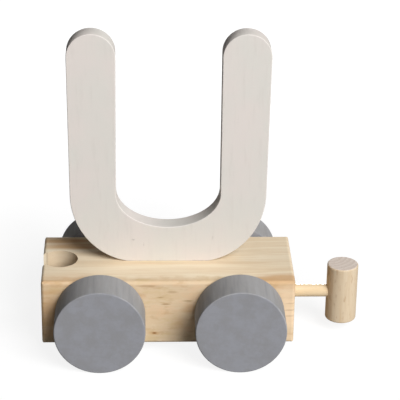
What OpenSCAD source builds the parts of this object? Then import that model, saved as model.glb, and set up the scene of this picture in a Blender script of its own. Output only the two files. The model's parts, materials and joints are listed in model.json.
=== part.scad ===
// Wooden letter train car: a pine block on four painted wheels carries an upright letter U.
// The front end has a slotted socket, the rear end a peg on a rod that drops into the next car's socket.
// X runs from the front end to the rear end, Y across the track, Z up from the floor.
// The origin lies on the floor, below the middle of the car's overall length and width.

/* [Block] */
// Length of the block along the track
block_l = 80; // [72:0.5:100]
// Width of the block across the track
block_w = 32; // [28:0.5:40]
// Height of the block
block_h = 22; // [20:0.5:28]
// Rounding of the block's edges
block_edge_r = 1; // [0.4:0.1:2]

/* [Letter] */
// Width of the letter where its legs meet the bend
letter_w = 62; // [56:0.2:70]
// Height of the letter above the block
letter_h = 77.2; // [60:0.2:90]
// Thickness of the letter
letter_t = 6; // [5.5:0.1:10]
// Width of a leg where it meets the bend
leg_w = 14.5; // [11:0.1:16]
// Width of a leg at its rounded top
leg_top_w = 15.1; // [11:0.1:17]
// How far each leg's outer side leans out at the top
leg_flare = 0.5; // [0:0.1:1.5]
// Height of the letter's lower bar at the middle
bar_h = 12.1; // [10:0.1:16]
// Height at which the legs run into the elliptical bend
bend_h = 23.6; // [20:0.1:30]
// Distance between the centres of the two ellipses that make the outside of the bend
bend_spread = 19; // [10:0.2:26]
// How much of these ellipses is cut off flat to stand on the block
foot_cut = 0.3; // [0.1:0.1:2]
// How far the letter's middle plane lies behind the block's
letter_set_back = 1.3; // [-3:0.1:3]

/* [Letter dowels] */
// Diameter of the hidden dowels under the letter
dowel_d = 4; // [3:0.1:5]
// Distance between the two dowels
dowel_spacing = 16; // [10:0.5:24]
// Depth of a dowel in the block
dowel_in_block = 8; // [5:0.5:12]
// Depth of a dowel in the letter
dowel_in_letter = 7; // [5:0.5:9]

/* [Wheels and axles] */
// Diameter of a wheel
wheel_d = 28.5; // [24:0.1:36]
// Thickness of a wheel
wheel_t = 12.3; // [9.5:0.1:16]
// Rounding of a wheel's rims
wheel_rim_r = 0.4; // [0.2:0.1:2]
// Diameter of an axle
axle_d = 6; // [4:0.1:8]
// Radial clearance of an axle in the block's bore
axle_clearance = 0.08; // [0.02:0.01:0.1]
// Gap between a wheel and the block's side
wheel_gap = 0.4; // [0.3:0.05:1.5]
// Depth of the blind axle bore in a wheel
wheel_bore_depth = 8; // [5:0.5:8]
// Distance from the block's front end to the front axle
front_overhang = 18.5; // [17:0.1:22]
// Distance from the rear axle to the block's rear end
rear_overhang = 17.5; // [16:0.1:22]
// Height of the axle bores above the block's underside
axle_h = 10.75; // [8:0.05:12]

/* [Coupling] */
// Height of the rod's axis above the block's underside
coupling_h = 10.3; // [8:0.1:12]
// Diameter of the rod
rod_d = 4.2; // [3:0.1:5]
// Depth of the rod in the block
rod_in_block = 10; // [6:0.5:11]
// Free length of the rod between the block and the peg
rod_free_l = 11.6; // [8:0.1:16]
// Depth of the rod in the peg
rod_in_peg = 7; // [4:0.1:8]
// Diameter of the peg
peg_d = 10; // [9:0.1:11]
// Length of the peg
peg_l = 19.5; // [16:0.1:22]
// Rounding of the peg's ends
peg_edge_r = 0.5; // [0.2:0.1:1.5]
// Radial clearance of a peg in the socket
socket_clearance = 0.7; // [0.4:0.05:1.2]
// Distance from the block's front end to the socket's centre
socket_inset = 5.5; // [5:0.1:7]
// Width of the slot that lets the rod pass but holds the peg back
socket_slot_w = 8; // [6:0.1:8.5]

/* [Hidden] */

$fn = 96;
// How far a cutting shape runs past the face that it opens
cut = 1;

pine = [0.87, 0.75, 0.58];
beech = [0.84, 0.74, 0.60];
light_dowel = [0.90, 0.81, 0.62];
off_white = [0.86, 0.83, 0.79];
slate_grey = [0.55, 0.56, 0.59];

// Places along X
overall_l = block_l + rod_free_l + peg_d;
front_x = -overall_l / 2;
rear_x = front_x + block_l;
axle_front_x = front_x + front_overhang;
axle_rear_x = rear_x - rear_overhang;
block_x = (front_x + rear_x) / 2;
socket_x = front_x + socket_inset;
peg_x = rear_x + rod_free_l + peg_d / 2;

// Heights above the floor
axle_z = wheel_d / 2;
underside_z = axle_z - axle_h;
top_z = underside_z + block_h;
coupling_z = underside_z + coupling_h;

// Radii
socket_r = peg_d / 2 + socket_clearance;
axle_bore_r = axle_d / 2 + axle_clearance;

// Half widths of the letter and of its gap, at the bend and at the tops of the legs
outer_foot = letter_w / 2;
outer_top = outer_foot + leg_flare;
inner_foot = outer_foot - leg_w;
inner_top = outer_top - leg_top_w;
leg_top_r = leg_top_w / 2;
leg_round_z = letter_h - leg_top_r;

// Rectangle with round corners about the origin
module rounded_rect(w, h, r) {
    square([w - 2 * r, h], center = true);
    square([w, h - 2 * r], center = true);
    for (sx = [-1, 1], sy = [-1, 1])
        translate([sx * (w / 2 - r), sy * (h / 2 - r)])
            circle(r);
}

// Bar with all its edges rounded: the overlap of its outlines seen along Z, Y and X
module rounded_bar(l, w, h, r) {
    intersection() {
        linear_extrude(h, center = true)
            rounded_rect(l, w, r);
        rotate([90, 0, 0])
            linear_extrude(w, center = true)
                rounded_rect(l, h, r);
        rotate([90, 0, 90])
            linear_extrude(l, center = true)
                rounded_rect(w, h, r);
    }
}

// Turned piece standing on the origin, with both rims rounded
module turned(r, l, edge_r) {
    rotate_extrude()
        intersection() {
            translate([0, l / 2])
                rounded_rect(2 * r, l, edge_r);
            square([r, l]);
        }
}

// Half an ellipse that hangs below the bend's height
module bowl(half_w, depth) {
    translate([0, bend_h])
        intersection() {
            scale([1, depth / half_w])
                circle(half_w);
            translate([-half_w - cut, -depth - cut])
                square([2 * (half_w + cut), depth + cut]);
        }
}

// Straight sides from the bend's height up to a rim
module straight(half_w, rim, rim_z) {
    polygon([[-half_w, bend_h], [half_w, bend_h], [rim, rim_z], [-rim, rim_z]]);
}

// Front outline of the letter, with its foot on the X axis
module letter_outline() {
    // The gap keeps its slope past the tops of its straight sides
    slope = (inner_top - inner_foot) / (leg_round_z - bend_h);
    difference() {
        union() {
            straight(outer_foot, outer_top, leg_round_z);
            translate([-bend_spread / 2, 0])
                square([bend_spread, bend_h]);
            for (side = [-1, 1]) {
                translate([side * bend_spread / 2, 0])
                    bowl(outer_foot - bend_spread / 2, bend_h + foot_cut);
                translate([side * (inner_top + leg_top_r), leg_round_z])
                    circle(leg_top_r);
            }
        }
        straight(inner_foot, inner_top + slope * cut, leg_round_z + cut);
        bowl(inner_foot, bend_h - bar_h);
        translate([-outer_foot, -foot_cut - cut])
            square([letter_w, foot_cut + cut]);
    }
}

// Vertical hole through the block near its front end, open to the front through a narrower slot
module socket_cut() {
    translate([socket_x, 0, underside_z - cut])
        cylinder(h = block_h + 2 * cut, r = socket_r);
    translate([front_x - cut, -socket_slot_w / 2, underside_z - cut])
        cube([socket_inset + cut, socket_slot_w, block_h + 2 * cut]);
}

// One hidden dowel, half in the block and half in the letter
module letter_dowel(side) {
    translate([block_x + side * dowel_spacing / 2, letter_set_back, top_z - dowel_in_block])
        cylinder(h = dowel_in_block + dowel_in_letter, d = dowel_d);
}

// The rod's full length, from its seat in the block to its seat in the peg
module rod() {
    translate([rear_x - rod_in_block, 0, coupling_z])
        rotate([0, 90, 0])
            cylinder(h = rod_in_block + rod_free_l + rod_in_peg, d = rod_d);
}

// An axle reaches the ends of the blind bores in its two wheels
module axle(x) {
    axle_l = block_w + 2 * (wheel_gap + wheel_bore_depth);
    color(beech)
        translate([x, 0, axle_z])
            rotate([90, 0, 0])
                cylinder(h = axle_l, d = axle_d, center = true);
}

// A wheel on one side of the block: side is -1 for left and 1 for right
module wheel(x, side) {
    color(slate_grey)
        translate([x, side * (block_w / 2 + wheel_gap), axle_z])
            rotate([-90 * side, 0, 0])
                difference() {
                    turned(wheel_d / 2, wheel_t, wheel_rim_r);
                    translate([0, 0, -cut])
                        cylinder(h = wheel_bore_depth + cut, d = axle_d);
                }
}

module chassis_block() {
    color(pine)
        difference() {
            translate([block_x, 0, underside_z + block_h / 2])
                rounded_bar(block_l, block_w, block_h, block_edge_r);
            for (x = [axle_front_x, axle_rear_x])
                translate([x, 0, axle_z])
                    rotate([90, 0, 0])
                        cylinder(h = block_w + 2 * cut, r = axle_bore_r, center = true);
            socket_cut();
            rod();
            letter_dowel(-1);
            letter_dowel(1);
        }
}

module letter() {
    color(off_white)
        difference() {
            translate([block_x, letter_set_back, top_z])
                rotate([90, 0, 0])
                    linear_extrude(letter_t, center = true)
                        letter_outline();
            letter_dowel(-1);
            letter_dowel(1);
        }
}

module letter_dowel_front() {
    color(beech)
        letter_dowel(-1);
}

module letter_dowel_rear() {
    color(beech)
        letter_dowel(1);
}

module coupling_rod() {
    color(light_dowel)
        rod();
}

module coupling_peg() {
    color(beech)
        difference() {
            translate([peg_x, 0, coupling_z - peg_l / 2])
                turned(peg_d / 2, peg_l, peg_edge_r);
            rod();
        }
}

chassis_block();
letter();
letter_dowel_front();
letter_dowel_rear();
axle(axle_front_x);  // axle_front
axle(axle_rear_x);  // axle_rear
wheel(axle_front_x, -1);  // wheel_front_left
wheel(axle_front_x, 1);  // wheel_front_right
wheel(axle_rear_x, -1);  // wheel_rear_left
wheel(axle_rear_x, 1);  // wheel_rear_right
coupling_rod();
coupling_peg();
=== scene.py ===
"""Looks of the wooden letter train car: bare pine, painted letter and wheels, and the photo's studio."""

import json
import math

import bpy
from mathutils import Matrix, Vector

MM = 0.001
WHITE = (1, 1, 1, 1)

# Camera fitted to the photo, in the car's own frame: its place, its angles in radians and its lens
CAMERA_AT = (-20.989 * MM, -517.141 * MM, 295.813 * MM)
CAMERA_YAW = 0.03922
CAMERA_PITCH = -0.44913
CAMERA_ROLL = -0.01554
CAMERA_LENS = 163.344
CAMERA_SENSOR = 36
CAMERA_NEAR = 0.01

# Lamps: the direction in which each stands from the car, its width in metres and its strength
KEY_FROM = (0.442, -0.668, 0.599)
KEY_SIZE = 1.15
KEY_WATTS = 53.5
BACK_FROM = (0.1, 1, 0.025)
BACK_SIZE = 0.16
BACK_WATTS = 20
LAMP_DISTANCE = 2.0
LAMP_AIM = (-10 * MM, 0, 35 * MM)
WORLD_LEVEL = 0.035

# Floor: its glow rises from the car outwards, so that the picture's border is white
FLOOR_HALF = 3.0
FLOOR_NEAR = 0.06
FLOOR_FAR = 0.2
FLOOR_NEAR_GLOW = 0.87
FLOOR_FAR_GLOW = 1.0
FLOOR_SHOWN_ALBEDO = 0.17
FLOOR_BOUNCE_ALBEDO = 0.3

# Eased edges of the letter: their radius and steps, and the limits that tell flat faces and crisp edges
LETTER_EDGE = 0.25 * MM
LETTER_EDGE_STEPS = 4
WELD_WITHIN = 0.001 * MM
FLAT_WITHIN = math.radians(0.5)
CRISP_OVER = math.radians(40)

# The nodes whose grain runs across the track
AXLES = ("axle_front", "axle_rear")

# Specular levels of the matt surfaces and of the smoother rod
MATT_GLOSS = 0.005
ROD_GLOSS = 0.08

# Depths of the bump
BARE_WOOD_DEPTH = 0.02 * MM
SMOOTH_WOOD_DEPTH = 0.01 * MM
PAINT_DEPTH = 0.015 * MM

# Patterns of bare wood in cells per metre, along the grain and across it
SWAY = (12.0, 45.0)
STREAKS = (14.0, 260.0)
BRUSHED = (70.0, 800.0)
FIBRES = (90.0, 2600.0)
BEECH_FLECKS = (380.0, 1500.0)

# Patterns in cells per metre along X, Y and Z
PINE_BLOTCHES = (90.0, 200.0, 200.0)
PINE_FIGURE = (230.0, 620.0, 620.0)
PINE_WOBBLE = (40.0, 420.0, 420.0)
LETTER_GRAIN = (900.0, 900.0, 110.0)
WHEEL_GRAIN = (110.0, 500.0, 620.0)
TREAD_STREAKS = (620.0, 60.0, 620.0)

# Patterns in cells per metre, the same along all axes
PORES = 1500.0
HEART_BORDER = 260.0
LETTER_CLOUDS = 60.0
LETTER_SPECKS = 1800.0
WHEEL_CLOUDS = 180.0
WHEEL_SPECKS = 1500.0
RIM_WEAR = 260.0

# Number of rings by which the sway moves the growth rings at most
RING_SWAY = 3.0

# The block's warmer front side: where it begins and is full, and the width over which its border strays
HEART_FROM = -11 * MM
HEART_FULL = -16 * MM
HEART_STRAY = 8 * MM

# The socket's bore: its centre, and the radii between which its darker wall fades out
SOCKET_CENTRE = (-45.3 * MM, 0, 0)
SOCKET_WALL_R = 6.0 * MM
SOCKET_FADED_R = 6.3 * MM

# Distances from the car's middle plane between which the rubbed rim of a wheel sets in
RIM_FROM = 24 * MM
RIM_FULL = 27 * MM

# Distances from the middle of a spot, in half sizes, at which it is full and at which it ends
SPOT_FULL = 0.2
SPOT_END = 1.0

# Marks on the block in millimetres: the centre, the half sizes and how strongly each shows
BROWN_FLECKS = [
    ((-9.6, -16, 22), (2.6, 4, 0.7), 0.4),
    ((-13.3, -16, 20.1), (1.9, 4, 0.5), 0.5),
    ((-11.6, -16, 17.6), (2.2, 4, 0.5), 0.55),
    ((-4.6, -16, 18.8), (3.2, 4, 0.55), 0.65),
    ((-17.5, -16, 24.1), (3.6, 4, 0.5), 0.4),
    ((27.9, -16, 17.7), (3.2, 4, 0.4), 0.25),
    ((28, -16, 15.3), (3.2, 4, 0.4), 0.3),
    ((27.3, -16, 13.2), (3.2, 4, 0.4), 0.22),
]
# Warm patches. Three rows are painted shade: a warmer, darker tint where the wheels' shadows fall on the
# block's front and where the letter's shadow falls on its top
WARM_PATCHES_AND_PAINTED_SHADE = [
    ((26, -13.5, 25.5), (16, 5, 4), 0.65),
    ((-7.1, -16, 10.8), (5, 4, 3), 0.4),
    ((-15.6, -16, 7.2), (3, 4, 1.1), 0.6),
    # painted shade: where the right front wheel's shadow falls on the block's front
    ((-3.8, -16, 16), (4, 4, 3), 0.45),
    ((-40, -14, 24.5), (14, 4, 3), 0.4),
    # painted shade: where the left front wheel's shadow falls on the block's front
    ((-48, -16, 14), (8, 4, 14), 0.55),
    # painted shade: where the letter's shadow falls on the block's top
    ((-42, 12, 25.5), (14, 8, 4), 0.75),
]
PALE_PATCHES = [
    ((27, -16, 14), (7, 4, 12), 0.8),
]
KNOTS = [
    ((-15.2, -16, 7.2), (1.3, 2, 0.6), 0.95),
]

# Small dents in the letter's front face, written like the marks on the block
LETTER_DENTS = [
    ((-21.8, -1.7, 33.2), (2.1, 1, 0.9), 0.8),
    ((-18.5, -1.7, 31.3), (0.6, 1, 2.6), 0.4),
    ((3.4, -1.7, 33.7), (0.8, 1, 2.1), 0.35),
]


def srgb(red, green, blue):
    """Linear colour for a colour given in the usual 0 to 255."""
    return tuple(((c / 255 + 0.055) / 1.055) ** 2.4 for c in (red, green, blue)) + (1.0,)


# Tints on the pine block
PINE_HEART = srgb(210, 179, 140)
PINE_ROSY = srgb(228, 190, 152)
PINE_OLIVE = srgb(206, 180, 130)
PINE_FIGURED = srgb(188, 150, 106)
# Warm tint of the patches, also used as painted shade
PINE_WARM_AND_SHADE = srgb(204, 160, 112)
PINE_PALE = srgb(244, 216, 182)
PINE_BROWN = srgb(158, 118, 74)
PINE_KNOT = srgb(142, 92, 42)
PINE_SOCKET = srgb(203, 182, 153)

# Tint of the short flecks in beech
BEECH_BROWN = srgb(176, 138, 100)

# Colours of the letter's paint
LETTER_ROSY = srgb(221, 213, 207)
LETTER_CREAM = srgb(217, 213, 206)
LETTER_GRAINY = srgb(204, 197, 190)
# Paler paint of the edges, partly a painted highlight
LETTER_RUBBED_AND_HIGHLIGHT = srgb(230, 224, 218)
LETTER_DENTED = srgb(158, 150, 146)

# Colours of the wheels' paint
WHEEL_GREY = srgb(143, 143, 146)
WHEEL_BLUISH = srgb(149, 150, 156)
WHEEL_GRAINY = srgb(134, 135, 140)
# Paler paint of the treads, partly a painted sheen
WHEEL_TREAD_AND_SHEEN = srgb(162, 160, 158)
WHEEL_LIGHT = srgb(172, 173, 177)
WHEEL_DARK = srgb(126, 127, 132)
WHEEL_RUBBED = srgb(182, 180, 178)


class Graph:
    """Short notation for the nodes of one material."""

    # Sockets of a Mix node that mixes colours
    MIX_FACTOR, MIX_A, MIX_B = 0, 6, 7
    MIX_RESULT = 2

    def __init__(self, name):
        self.material = bpy.data.materials.new(name)
        self.material.use_nodes = True
        self.tree = self.material.node_tree
        self.shader = self.tree.nodes["Principled BSDF"]
        own = self.node("ShaderNodeTexCoord").outputs
        self.place = own["Object"]
        self.normal = own["Normal"]

    def put(self, socket, value):
        """Links another node's output to an input, or sets a plain value there."""
        if isinstance(value, bpy.types.NodeSocket):
            self.tree.links.new(value, socket)
        else:
            socket.default_value = value

    def node(self, kind, inputs=None, **settings):
        """Makes a node with its settings, and links or sets its inputs."""
        made = self.tree.nodes.new(kind)
        for key, value in settings.items():
            setattr(made, key, value)
        for key, value in (inputs or {}).items():
            self.put(made.inputs[key], value)
        return made

    def math(self, operation, a, b=0.0):
        return self.node("ShaderNodeMath", {0: a, 1: b}, operation=operation).outputs[0]

    def times(self, a, b):
        return self.math("MULTIPLY", a, b)

    def vector(self, operation, a, b):
        return self.node("ShaderNodeVectorMath", {0: a, 1: b}, operation=operation).outputs[0]

    def length(self, vector):
        return self.node("ShaderNodeVectorMath", {0: vector}, operation="LENGTH").outputs["Value"]

    def part(self, vector, axis):
        return self.node("ShaderNodeSeparateXYZ", {0: vector}).outputs[axis]

    def facing(self, axis):
        """1 where the surface faces along an axis, either way, and 0 where it runs along it."""
        return self.math("ABSOLUTE", self.part(self.normal, axis))

    def noise_at(self, place, cells, detail, roughness):
        inputs = {"Vector": place, "Scale": cells, "Detail": detail, "Roughness": roughness}
        return self.node("ShaderNodeTexNoise", inputs).outputs["Fac"]

    def noise(self, cells, detail=3.0, roughness=0.5):
        """Noise with the same number of cells per metre along all axes."""
        return self.noise_at(self.place, cells, detail, roughness)

    def stretched(self, cells, detail=3.0, roughness=0.5):
        """Noise with its own number of cells per metre along each axis."""
        return self.noise_at(self.vector("MULTIPLY", self.place, cells), 1.0, detail, roughness)

    def step(self, value, low, high, least=0.0, most=1.0):
        """Smooth step from the least at low to the most at high. High may lie below low."""
        inputs = {"Value": value, "From Min": low, "From Max": high, "To Min": least, "To Max": most}
        return self.node("ShaderNodeMapRange", inputs, interpolation_type="SMOOTHSTEP").outputs["Result"]

    def mix(self, factor, a, b):
        inputs = {self.MIX_FACTOR: factor, self.MIX_A: a, self.MIX_B: b}
        return self.node("ShaderNodeMix", inputs, data_type="RGBA").outputs[self.MIX_RESULT]

    def finish(self, colour, roughness, height, depth, gloss=MATT_GLOSS):
        """Gives the shader its colour, its roughness, a bump of some depth and its gloss."""
        bump = self.node("ShaderNodeBump", {"Height": height, "Distance": depth, "Strength": 1.0})
        self.shader.inputs["Specular IOR Level"].default_value = gloss
        self.put(self.shader.inputs["Base Color"], colour)
        self.put(self.shader.inputs["Roughness"], roughness)
        self.put(self.shader.inputs["Normal"], bump.outputs["Normal"])
        return self.material


def spot(graph, centre, size, wobble):
    """Mask that is 1 in the middle of an uneven oval spot and fades to 0 at its rim."""
    offset = graph.vector("SUBTRACT", graph.place, centre)
    reach = graph.length(graph.vector("DIVIDE", offset, size))
    return graph.step(graph.math("ADD", reach, wobble), SPOT_END, SPOT_FULL)


def marks(graph, colour, rows, tint, wobble):
    """Lays a list of spots over a colour."""
    for centre, size, strength in rows:
        mask = spot(graph, [c * MM for c in centre], [s * MM for s in size], wobble)
        colour = graph.mix(graph.times(mask, strength), colour, tint)
    return colour


def per_axis(along, lengthwise, crosswise):
    """One value for the grain's axis and another for the two axes across it."""
    return [lengthwise if axis == along else crosswise for axis in "XYZ"]


def wood(name, along, pith, ring_step, contrast, early, late, end, end_rings):
    """Bare sanded wood with its grain along one axis: growth rings, streaks, fibres and end grain."""
    graph = Graph(name)
    sway = graph.times(graph.stretched(per_axis(along, *SWAY)), RING_SWAY)
    from_pith = graph.vector("SUBTRACT", graph.place, pith)
    radius = graph.length(graph.vector("MULTIPLY", from_pith, per_axis(along, 0.0, 1.0)))
    phase = graph.math("FRACT", graph.math("ADD", graph.math("DIVIDE", radius, ring_step), sway))
    late_wood = graph.times(graph.step(phase, 0.2, 0.85), graph.step(phase, 1.0, 0.9))
    streaks = graph.step(graph.stretched(per_axis(along, *STREAKS)), 0.35, 0.7)
    brushed = graph.stretched(per_axis(along, *BRUSHED))
    fibres = graph.stretched(per_axis(along, *FIBRES))

    banded = graph.math("ADD", graph.times(late_wood, 0.6), streaks)
    sides = graph.mix(graph.times(banded, contrast), early, late)
    sides = graph.mix(graph.step(brushed, 0.45, 0.7, most=0.3), sides, late)
    sides = graph.mix(graph.step(fibres, 0.5, 0.75, most=0.24), sides, late)

    ends = graph.mix(graph.times(late_wood, 0.45), end, end_rings)
    ends = graph.mix(graph.step(graph.noise(PORES), 0.5, 0.7, most=0.25), ends, end_rings)
    colour = graph.mix(graph.step(graph.facing(along), 0.75, 0.97), sides, ends)
    height = graph.math("ADD", fibres, graph.times(late_wood, 0.4))
    return graph, colour, height


def pine():
    """The block: pale pine with soft streaks along the track, warmer towards its front side."""
    graph, colour, height = wood(
        "pine", along="X", pith=(0, 62 * MM, -24 * MM), ring_step=4.2 * MM, contrast=0.35,
        early=srgb(240, 225, 199), late=srgb(218, 190, 152),
        end=srgb(214, 188, 153), end_rings=srgb(178, 141, 101),
    )

    uneven = graph.math("SUBTRACT", graph.noise(HEART_BORDER, detail=4.0), 0.5)
    across = graph.math("ADD", graph.part(graph.place, "Y"), graph.times(uneven, HEART_STRAY))
    heart = graph.step(across, HEART_FROM, HEART_FULL, most=0.55)
    blotches = graph.stretched(PINE_BLOTCHES, detail=4.0, roughness=0.68)
    figure = graph.stretched(PINE_FIGURE)
    colour = graph.mix(heart, colour, PINE_HEART)
    colour = graph.mix(graph.times(heart, graph.step(blotches, 0.48, 0.66, most=0.8)), colour, PINE_ROSY)
    colour = graph.mix(graph.times(heart, graph.step(blotches, 0.5, 0.34, most=0.7)), colour, PINE_OLIVE)
    colour = graph.mix(graph.times(heart, graph.step(figure, 0.52, 0.7, most=0.6)), colour, PINE_FIGURED)

    wobble = graph.times(graph.math("SUBTRACT", graph.stretched(PINE_WOBBLE), 0.5), 1.6)
    # Warm patches, some of them painted shade where the shadows fall
    colour = marks(graph, colour, WARM_PATCHES_AND_PAINTED_SHADE, PINE_WARM_AND_SHADE, wobble)
    colour = marks(graph, colour, PALE_PATCHES, PINE_PALE, wobble)
    colour = marks(graph, colour, BROWN_FLECKS, PINE_BROWN, wobble)
    colour = marks(graph, colour, KNOTS, PINE_KNOT, wobble)

    from_socket = graph.vector("SUBTRACT", graph.place, SOCKET_CENTRE)
    radius = graph.length(graph.vector("MULTIPLY", from_socket, (1, 1, 0)))
    upright = graph.step(graph.facing("Z"), 0.6, 0.2)
    wall = graph.times(upright, graph.step(radius, SOCKET_FADED_R, SOCKET_WALL_R))
    colour = graph.mix(graph.times(wall, 0.7), colour, PINE_SOCKET)

    roughness = graph.step(height, 0.3, 1.0, least=0.5, most=0.68)
    return graph.finish(colour, roughness, height, BARE_WOOD_DEPTH)


def beech(name, along, pith):
    """The peg, the axles and the hidden dowels: fine, even wood with short brown flecks along its grain."""
    graph, colour, height = wood(
        name, along, pith, ring_step=1.6 * MM, contrast=0.25,
        early=srgb(221, 203, 176), late=srgb(200, 172, 135),
        end=srgb(226, 213, 202), end_rings=srgb(203, 186, 173),
    )
    flecks = graph.stretched(per_axis(along, *BEECH_FLECKS))
    colour = graph.mix(graph.step(flecks, 0.55, 0.75, most=0.4), colour, BEECH_BROWN)
    roughness = graph.step(height, 0.3, 1.0, least=0.5, most=0.65)
    return graph.finish(colour, roughness, height, BARE_WOOD_DEPTH)


def light_dowel():
    """The rod: smooth pale wood with its grain along the rod."""
    graph, colour, height = wood(
        "light_dowel", along="X", pith=(0, 9 * MM, 5 * MM), ring_step=1.2 * MM, contrast=0.5,
        early=srgb(238, 219, 186), late=srgb(212, 184, 142),
        end=srgb(220, 198, 160), end_rings=srgb(190, 160, 118),
    )
    roughness = graph.step(height, 0.3, 1.0, least=0.3, most=0.42)
    return graph.finish(colour, roughness, height, SMOOTH_WOOD_DEPTH, gloss=ROD_GLOSS)


def letter_paint():
    """Thin matt off-white paint, faint upright grain, and pale edges: rubbed, and partly a painted
    highlight.
    """
    graph = Graph("letter_paint")
    grain = graph.stretched(LETTER_GRAIN)
    clouds = graph.noise(LETTER_CLOUDS, detail=4.0)
    specks = graph.noise(LETTER_SPECKS, detail=2.0)
    colour = graph.mix(graph.step(clouds, 0.35, 0.65), LETTER_ROSY, LETTER_CREAM)
    colour = graph.mix(graph.step(grain, 0.5, 0.75, most=0.22), colour, LETTER_GRAINY)

    facing = graph.facing("Y")
    # Paler along the eased edges: rubbed paint, and partly a painted highlight along them
    edge = graph.times(graph.step(facing, 0.2, 0.5), graph.step(facing, 0.99, 0.9))
    rubbed = graph.times(edge, graph.step(clouds, 0.3, 0.6, least=0.15, most=0.6))
    colour = graph.mix(rubbed, colour, LETTER_RUBBED_AND_HIGHLIGHT)
    colour = marks(graph, colour, LETTER_DENTS, LETTER_DENTED, specks)

    height = graph.math("ADD", grain, graph.times(specks, 0.4))
    roughness = graph.step(clouds, 0.3, 0.7, least=0.55, most=0.7)
    return graph.finish(colour, roughness, height, PAINT_DEPTH)


def wheel_paint():
    """Slate grey paint, faintly mottled, brushed across the treads and rubbed lighter at the outer rims."""
    graph = Graph("wheel_paint")
    grain = graph.stretched(WHEEL_GRAIN)
    clouds = graph.noise(WHEEL_CLOUDS, detail=5.0, roughness=0.7)
    specks = graph.noise(WHEEL_SPECKS, detail=2.0)
    colour = graph.mix(graph.step(clouds, 0.35, 0.65), WHEEL_GREY, WHEEL_BLUISH)
    colour = graph.mix(graph.step(grain, 0.5, 0.75, most=0.14), colour, WHEEL_GRAINY)

    facing = graph.facing("Y")
    tread = graph.step(facing, 0.4, 0.1)
    brushed = graph.stretched(TREAD_STREAKS)
    # Paler treads: partly thinner paint, partly a painted sheen standing for the brighter light that they
    # catch
    colour = graph.mix(graph.times(tread, 0.7), colour, WHEEL_TREAD_AND_SHEEN)
    colour = graph.mix(graph.times(tread, graph.step(brushed, 0.48, 0.72, most=0.35)), colour, WHEEL_LIGHT)
    colour = graph.mix(graph.times(tread, graph.step(brushed, 0.5, 0.3, most=0.25)), colour, WHEEL_DARK)

    rim = graph.times(graph.step(facing, 0.2, 0.6), graph.step(facing, 0.98, 0.85))
    outside = graph.step(graph.math("ABSOLUTE", graph.part(graph.place, "Y")), RIM_FROM, RIM_FULL)
    worn = graph.step(graph.noise(RIM_WEAR), 0.35, 0.7, most=0.5)
    colour = graph.mix(graph.times(graph.times(rim, outside), worn), colour, WHEEL_RUBBED)

    height = graph.math("ADD", grain, graph.times(specks, 0.5))
    roughness = graph.step(clouds, 0.3, 0.7, least=0.42, most=0.56)
    return graph.finish(colour, roughness, height, PAINT_DEPTH)


def paint_nodes(frame):
    """Gives each CAD node the material of its slot in the record, with the axles' grain along the axles."""
    looks = {
        "pine": pine(),
        "beech": beech("beech", along="Z", pith=(41 * MM, 6 * MM, 0)),
        "light_dowel": light_dowel(),
        "letter_paint": letter_paint(),
        "wheel_paint": wheel_paint(),
    }
    axle_wood = beech("beech_axle", along="Y", pith=(-10 * MM, 0, 30 * MM))
    for row in frame["record"]["subparts"]:
        piece = frame["nodes"][row["node"]]
        look = axle_wood if row["node"] in AXLES else looks[row["material_slot"]]
        piece.data.materials.clear()
        piece.data.materials.append(look)


def ease_edges(piece, radius, steps):
    """Rounds a node's crisp edges a little, as sanding and paint do."""
    weld = piece.modifiers.new("weld", "WELD")
    weld.merge_threshold = WELD_WITHIN
    flat = piece.modifiers.new("flat", "DECIMATE")
    flat.decimate_type = "DISSOLVE"
    flat.angle_limit = FLAT_WITHIN
    ease = piece.modifiers.new("ease", "BEVEL")
    ease.width = radius
    ease.segments = steps
    ease.limit_method = "ANGLE"
    ease.angle_limit = CRISP_OVER
    ease.use_clamp_overlap = False
    ease.harden_normals = True


def make_camera():
    """Camera at the photo's place: forward from yaw and pitch, then turned about it by the roll."""
    forward = Vector((
        math.sin(CAMERA_YAW) * math.cos(CAMERA_PITCH),
        math.cos(CAMERA_YAW) * math.cos(CAMERA_PITCH),
        math.sin(CAMERA_PITCH),
    ))
    level = Vector((math.cos(CAMERA_YAW), -math.sin(CAMERA_YAW), 0))
    down = forward.cross(level)
    right = math.cos(CAMERA_ROLL) * level + math.sin(CAMERA_ROLL) * down
    up = math.sin(CAMERA_ROLL) * level - math.cos(CAMERA_ROLL) * down
    data = bpy.data.cameras.new("camera")
    data.sensor_width = CAMERA_SENSOR
    data.lens = CAMERA_LENS
    data.clip_start = CAMERA_NEAR
    camera = bpy.data.objects.new("camera", data)
    turn = Matrix((right, up, -forward)).transposed().to_4x4()
    camera.matrix_world = Matrix.Translation(CAMERA_AT) @ turn
    bpy.context.scene.collection.objects.link(camera)
    bpy.context.scene.camera = camera


def make_lamp(name, direction, size, watts):
    """Square soft lamp that looks at the car from a direction."""
    data = bpy.data.lights.new(name, "AREA")
    data.size = size
    data.energy = watts
    lamp = bpy.data.objects.new(name, data)
    towards = Vector(direction).normalized()
    lamp.location = Vector(LAMP_AIM) + LAMP_DISTANCE * towards
    lamp.rotation_euler = towards.to_track_quat("Z", "Y").to_euler()
    bpy.context.scene.collection.objects.link(lamp)


def shown_directly(tree):
    """1 for rays from the camera or from a mirror or glass, 0 for rays that carry light between surfaces."""
    path = tree.nodes.new("ShaderNodeLightPath")
    total = path.outputs["Is Camera Ray"]
    for other in ("Is Glossy Ray", "Is Transmission Ray"):
        either = tree.nodes.new("ShaderNodeMath")
        either.operation = "MAXIMUM"
        tree.links.new(total, either.inputs[0])
        tree.links.new(path.outputs[other], either.inputs[1])
        total = either.outputs[0]
    return total


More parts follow.
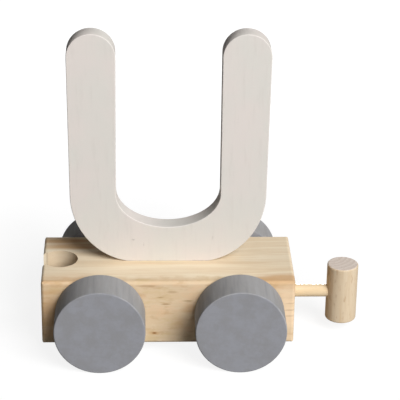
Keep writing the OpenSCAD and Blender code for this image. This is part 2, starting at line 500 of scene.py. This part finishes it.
def send(tree, carried, shown, surface):
    """Sends one shader to the rays that carry light and another to the rays that show it directly."""
    choice = tree.nodes.new("ShaderNodeMixShader")
    tree.links.new(shown_directly(tree), choice.inputs[0])
    tree.links.new(carried.outputs[0], choice.inputs[1])
    tree.links.new(shown.outputs[0], choice.inputs[2])
    tree.links.new(choice.outputs[0], surface)


def make_world():
    """Even dim light from all round, behind a white background."""
    world = bpy.data.worlds.new("world")
    world.use_nodes = True
    tree = world.node_tree
    light = tree.nodes["Background"]
    light.inputs["Color"].default_value = WHITE
    light.inputs["Strength"].default_value = WORLD_LEVEL
    white = tree.nodes.new("ShaderNodeBackground")
    white.inputs["Color"].default_value = WHITE
    white.inputs["Strength"].default_value = 1.0
    send(tree, light, white, tree.nodes["World Output"].inputs["Surface"])
    bpy.context.scene.world = world


def diffuse(tree, albedo):
    """Dull grey surface of some lightness."""
    made = tree.nodes.new("ShaderNodeBsdfDiffuse")
    made.inputs["Color"].default_value = (albedo, albedo, albedo, 1)
    return made


def floor_glow(tree):
    """Glow that rises from the car outwards."""
    place = tree.nodes.new("ShaderNodeNewGeometry")
    distance = tree.nodes.new("ShaderNodeVectorMath")
    distance.operation = "LENGTH"
    rise = tree.nodes.new("ShaderNodeMapRange")
    rise.interpolation_type = "SMOOTHSTEP"
    rise.inputs["From Min"].default_value = FLOOR_NEAR
    rise.inputs["From Max"].default_value = FLOOR_FAR
    rise.inputs["To Min"].default_value = FLOOR_NEAR_GLOW
    rise.inputs["To Max"].default_value = FLOOR_FAR_GLOW
    glow = tree.nodes.new("ShaderNodeEmission")
    tree.links.new(place.outputs["Position"], distance.inputs[0])
    tree.links.new(distance.outputs["Value"], rise.inputs["Value"])
    tree.links.new(rise.outputs["Result"], glow.inputs["Strength"])
    return glow


def floor_material():
    """White to the camera apart from the car's shadow, and dull and pale for the light that it returns."""
    material = bpy.data.materials.new("floor")
    material.use_nodes = True
    tree = material.node_tree
    tree.nodes.remove(tree.nodes["Principled BSDF"])
    shown = tree.nodes.new("ShaderNodeAddShader")
    tree.links.new(diffuse(tree, FLOOR_SHOWN_ALBEDO).outputs[0], shown.inputs[0])
    tree.links.new(floor_glow(tree).outputs[0], shown.inputs[1])
    bounce = diffuse(tree, FLOOR_BOUNCE_ALBEDO)
    send(tree, bounce, shown, tree.nodes["Material Output"].inputs["Surface"])
    return material


def make_floor():
    """Wide flat floor under the wheels."""
    corners = [(-FLOOR_HALF, -FLOOR_HALF, 0), (FLOOR_HALF, -FLOOR_HALF, 0),
               (FLOOR_HALF, FLOOR_HALF, 0), (-FLOOR_HALF, FLOOR_HALF, 0)]
    mesh = bpy.data.meshes.new("floor")
    mesh.from_pydata(corners, [], [(0, 1, 2, 3)])
    mesh.materials.append(floor_material())
    floor = bpy.data.objects.new("floor", mesh)
    bpy.context.scene.collection.objects.link(floor)


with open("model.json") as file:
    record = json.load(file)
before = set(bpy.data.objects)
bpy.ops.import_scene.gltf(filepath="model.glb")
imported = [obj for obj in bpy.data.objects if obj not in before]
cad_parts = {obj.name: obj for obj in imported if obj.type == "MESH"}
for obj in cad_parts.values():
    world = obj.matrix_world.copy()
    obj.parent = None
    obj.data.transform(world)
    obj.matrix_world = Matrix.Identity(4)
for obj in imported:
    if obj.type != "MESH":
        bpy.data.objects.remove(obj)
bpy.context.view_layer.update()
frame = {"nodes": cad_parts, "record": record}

make_camera()
make_lamp("key", KEY_FROM, KEY_SIZE, KEY_WATTS)
make_lamp("back", BACK_FROM, BACK_SIZE, BACK_WATTS)
make_world()
make_floor()
bpy.context.scene.view_settings.view_transform = "Standard"

paint_nodes(frame)
ease_edges(frame["nodes"]["letter"], LETTER_EDGE, LETTER_EDGE_STEPS)
